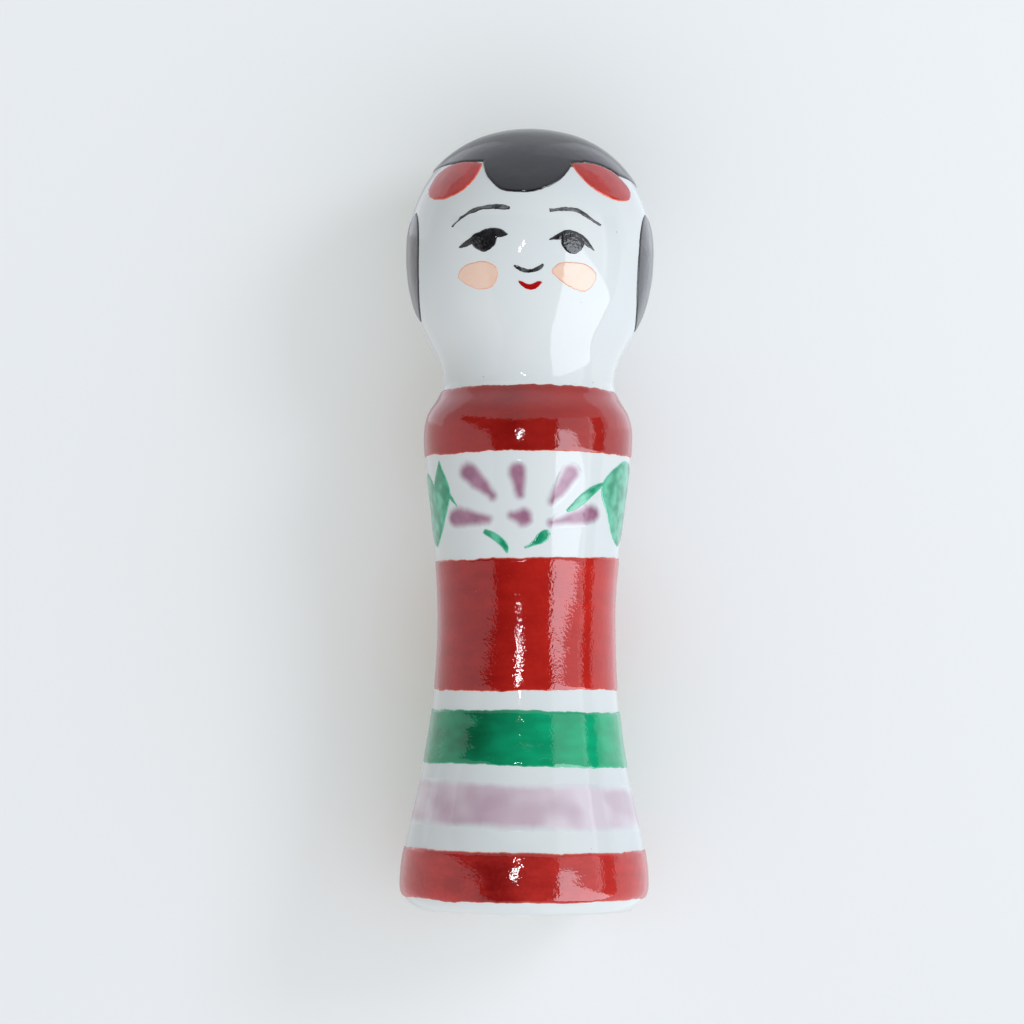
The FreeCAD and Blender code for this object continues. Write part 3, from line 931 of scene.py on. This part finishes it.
# The room as the glaze mirrors it: from and to azimuth (0 at the face, + right) and elevation in
# degrees, radiance, and how many degrees the upper edge drops for each degree to the right.
# Later panels cover earlier ones.
PANELS = (
    ((100, 160), (6, 90), (1.50, 1.56, 1.72), 0.0),
    ((-160, -105), (10, 90), (1.35, 1.40, 1.52), 0.0),
    ((92, 160), (-90, 8), (1.25, 1.34, 1.46), 0.0),
    ((-160, -105), (-90, 10), (0.96, 0.97, 1.00), 0.0),
    ((-82, 92), (-62, 23), (0.06, 0.06, 0.06), 0.0),
    ((-112, -41), (-75, 28), (0.92, 0.94, 1.00), 0.35),
    ((32, 77), (-50, 24), (1.30, 1.36, 1.46), 0.0),
    ((72, 75), (-50, 24), (2.3, 2.35, 2.45), 0.0),
    ((32, 46), (-50, 8), (5.6, 5.9, 6.5), 0.0),
    ((45, 90), (-50, 7), (5.6, 5.9, 6.5), 0.60),
)
PANEL_SOFTNESS = 1.6        # degrees over which the edge of a panel fades

# Beyond the panels the glaze mirrors the table below and the sky above, and straight behind the
# doll a paler zone that fades out to its sides and upwards.
SKY = (1.35, 1.40, 1.52)
TABLE = (0.86, 0.90, 0.945)
TABLE_TO_SKY = (38, 72)     # elevation, degrees
BEHIND_LEFT = (0.62, 0.64, 0.67)
BEHIND_RIGHT = (0.90, 0.94, 0.98)
LEFT_TO_RIGHT = (-0.3, 0.3)
BEHIND_FROM = (152, 166)    # azimuth to either side, degrees
BEHIND_UP_TO = (15, 75)     # elevation, degrees

# What the camera sees beyond the papers.
BACKDROP = (0.805, 0.842, 0.878)

# Light that falls on matt surfaces: even light, and broad lobes from the window's side and
# from the table below, each by its azimuth and elevation and its radiance.
EVEN_LIGHT = (0.413, 0.416, 0.413)
LOBES = (
    ((52, -14), (0.380, 0.428, 0.480)),
    ((0, -70), (0.520, 0.500, 0.500)),
)
LOBE_REACH = (-0.2, 1.0)    # cosines between which a lobe rises to its full radiance

# Two small slanted lamps that are only mirrored, by azimuth in degrees and height in metres.
SPARKS = {"upper_spark": (-6.0, 0.112), "lower_spark": (-9.5, 0.074)}
SPARK_DISTANCE, SPARK_WATTS, SPARK_SLANT = 0.6, 0.22, -24
SPARK_SIZE = {"shape": "ELLIPSE", "size": 0.019, "size_y": 0.040}

# The lamp in the window casts the soft shadow on the papers.
WINDOW_WAY = (42, 14)
WINDOW_DISTANCE, WINDOW_RISE, WINDOW_SIZE, WINDOW_WATTS = 0.3, 0.02, 0.09, 0.17
WINDOW_COLOUR = (0.955, 1.0, 1.05)


def way_to(azimuth, elevation):
    """Direction in the frame of the row, from degrees right of the face and up."""
    a, e = math.radians(azimuth), math.radians(elevation)
    return Vector((math.sin(a) * math.cos(e), -math.cos(a) * math.cos(e), math.sin(e)))


def panel_mask(shader, azimuth, elevation, across, up, slant):
    """Mask of one panel, with soft edges."""
    left, right = across
    low, high = up
    half = PANEL_SOFTNESS / 2
    top = elevation
    if slant:
        drop = shader.product(shader.math("SUBTRACT", azimuth, left), slant)
        top = shader.sum(elevation, drop)
    return shader.product(shader.step(azimuth, left - half, left + half),
                          shader.step(azimuth, right - half, right + half, 1, 0),
                          shader.step(elevation, low - half, low + half),
                          shader.step(top, high - half, high + half, 1, 0))


def mirrored_room(shader, way):
    """What the glaze mirrors in each direction."""
    parts = shader.tree.nodes.new("ShaderNodeSeparateXYZ")
    shader.feed(parts.inputs[0], way)
    x, y, z = parts.outputs
    azimuth = shader.math("DEGREES", shader.math("ARCTAN2", x, shader.product(y, -1.0)))
    elevation = shader.math("DEGREES", shader.math("ARCSINE", z))
    mirrored = shader.mix(shader.step(elevation, *TABLE_TO_SKY), TABLE, SKY)
    for across, up, radiance, slant in PANELS:
        mask = panel_mask(shader, azimuth, elevation, across, up, slant)
        mirrored = shader.mix(mask, mirrored, radiance)
    behind = shader.mix(shader.step(x, *LEFT_TO_RIGHT), BEHIND_LEFT, BEHIND_RIGHT)
    mask = shader.product(shader.step(shader.math("ABSOLUTE", azimuth), *BEHIND_FROM),
                          shader.step(elevation, *BEHIND_UP_TO, 1, 0))
    return shader.mix(mask, mirrored, behind)


def soft_light(shader, way):
    """What lights matt surfaces from each direction."""
    soft = EVEN_LIGHT
    for aim, light in LOBES:
        towards = shader.vector("DOT_PRODUCT", way, tuple(way_to(*aim)), out=1)
        lobe = shader.vector("SCALE", light, (0, 0, 0))
        shader.feed(lobe.node.inputs["Scale"], shader.step(towards, *LOBE_REACH))
        soft = shader.vector("ADD", soft, lobe)
    return soft


def room():
    """World: soft light for matt surfaces, panels for the glaze, one pale colour for the camera."""
    shader = Shader("studio", world=True)
    way = shader.add("ShaderNodeTexCoord", out=0)
    ray = shader.tree.nodes.new("ShaderNodeLightPath")
    colour = shader.mix(ray.outputs["Is Glossy Ray"], soft_light(shader, way),
                        mirrored_room(shader, way))
    colour = shader.mix(ray.outputs["Is Camera Ray"], colour, BACKDROP)
    light = shader.add("ShaderNodeBackground", {"Color": colour})
    shader.add("ShaderNodeOutputWorld", {"Surface": light})
    bpy.context.scene.world = shader.block


def lamp(name, spot, aim, energy, colour=(1, 1, 1), **settings):
    """An area lamp in metres, turned towards a point."""
    data = bpy.data.lights.new(name, "AREA")
    data.energy = energy
    data.color = colour
    for key, value in settings.items():
        setattr(data, key, value)
    light = put(name, data)
    light.location = spot
    light.rotation_euler = (aim - spot).to_track_quat("-Z", "Y").to_euler()
    return light


low_corner, high_corner = cad_box
doll_height = high_corner.z - low_corner.z
middle = Vector((0, 0, doll_height / 2))
room()
for name, (azimuth, height) in SPARKS.items():
    level = Vector((0, 0, height))
    spark = lamp(name, level + way_to(azimuth, 0) * SPARK_DISTANCE, level, SPARK_WATTS,
                 **SPARK_SIZE)
    spark.rotation_euler.rotate_axis("Z", math.radians(SPARK_SLANT))
    spark.visible_diffuse = False
window_place = middle + way_to(*WINDOW_WAY) * WINDOW_DISTANCE + Vector((0, 0, WINDOW_RISE))
window = lamp("window_light", window_place, middle, WINDOW_WATTS, WINDOW_COLOUR,
              size=WINDOW_SIZE)
window.visible_glossy = False


# ---- stage ---------------------------------------------------------

REACH = 0.6                 # the papers reach this far each way
FLOOR_Z = -0.00003          # a hair below the foot ring, so that the two faces don't coincide
BACKDROP_GAP = 0.0007       # from the back of the doll to the upright paper

# The papers fade out over these distances from the doll's middle, in millimetres, and where they
# are seen within these angles of edge-on, in degrees.
FLOOR_FADE, FLOOR_GRAZING = (90, 330), (6, 11)
BACKDROP_FADE, BACKDROP_GRAZING = (62, 120), (14, 30)
PAPER_COLOUR = (0.712, 0.727, 0.80)
# The paper also glows faintly: painted light that lifts and warms the doll's shadow on it. Its
# bluer diffuse colour makes up for the warm glow where it is lit.
PAPER_GLOW = (0.153, 0.160, 0.100)


def sheet(name, corners_m, material):
    """A sheet of paper that shows only to the camera and catches the doll's shadow."""
    mesh = bpy.data.meshes.new(name)
    mesh.from_pydata(corners_m, [], [(0, 1, 2, 3)])
    mesh.materials.append(material)
    plane = put(name, mesh)
    plane.visible_diffuse = False
    plane.visible_glossy = False
    plane.visible_transmission = False
    plane.visible_shadow = False


def paper_material(name, fade, grazing):
    """Pale paper seen from its front only, that fades out into the background colour."""
    shader = Shader(name)
    middle_mm = (0, 0, doll_height / 2 / MM)
    from_middle = shader.vector("SUBTRACT", shader.place_mm(), middle_mm)
    reach = shader.vector("LENGTH", from_middle, (0, 0, 0), out=1)
    geometry = shader.tree.nodes.new("ShaderNodeNewGeometry")
    facing = shader.vector("DOT_PRODUCT", geometry.outputs["Incoming"],
                           geometry.outputs["True Normal"], out=1)
    low, high = (math.sin(math.radians(angle)) for angle in grazing)
    front = shader.math("SUBTRACT", 1.0, geometry.outputs["Backfacing"])
    seen = shader.product(shader.step(reach, *fade, 1.0, 0.0), front,
                          shader.step(facing, low, high))
    lit = shader.add("ShaderNodeBsdfDiffuse", {"Color": PAPER_COLOUR})
    # Painted light: a faint glow added to the paper that lifts the shadow on it.
    glow = shader.add("ShaderNodeEmission", {"Color": PAPER_GLOW})
    paper = shader.add("ShaderNodeAddShader", {0: lit, 1: glow})
    clear = shader.add("ShaderNodeBsdfTransparent")
    surface = shader.add("ShaderNodeMixShader", {0: seen, 1: clear, 2: paper})
    shader.add("ShaderNodeOutputMaterial", {"Surface": surface})
    return shader.block


back_y = high_corner.y + BACKDROP_GAP
square = [(-REACH, -REACH), (REACH, -REACH), (REACH, REACH), (-REACH, REACH)]
sheet("floor", [(x, y, FLOOR_Z) for x, y in square],
      paper_material("floor_paper", FLOOR_FADE, FLOOR_GRAZING))
sheet("backdrop", [(x, back_y, z) for x, z in square],
      paper_material("backdrop_paper", BACKDROP_FADE, BACKDROP_GRAZING))


# ---- camera --------------------------------------------------------

CAMERA_PLACE = (-1.226, -261.8, 16.5)
CAMERA_PITCH = 3.262        # looking up, degrees
CAMERA_ROLL = 0.55          # counter-clockwise, degrees
LENS, SENSOR_WIDTH = 116.0, 36.0
NEAREST_SEEN = 0.01         # metres

camera_data = bpy.data.cameras.new("camera")
camera_data.lens = LENS
camera_data.sensor_width = SENSOR_WIDTH
camera_data.clip_start = NEAREST_SEEN
camera = put("camera", camera_data)
camera.location = Vector(CAMERA_PLACE) * MM
look = Euler((math.radians(90 + CAMERA_PITCH), 0, 0)).to_quaternion()
camera.rotation_mode = "QUATERNION"
camera.rotation_quaternion = look @ Euler((0, 0, math.radians(CAMERA_ROLL))).to_quaternion()
bpy.context.scene.camera = camera
bpy.context.scene.view_settings.view_transform = "Standard"
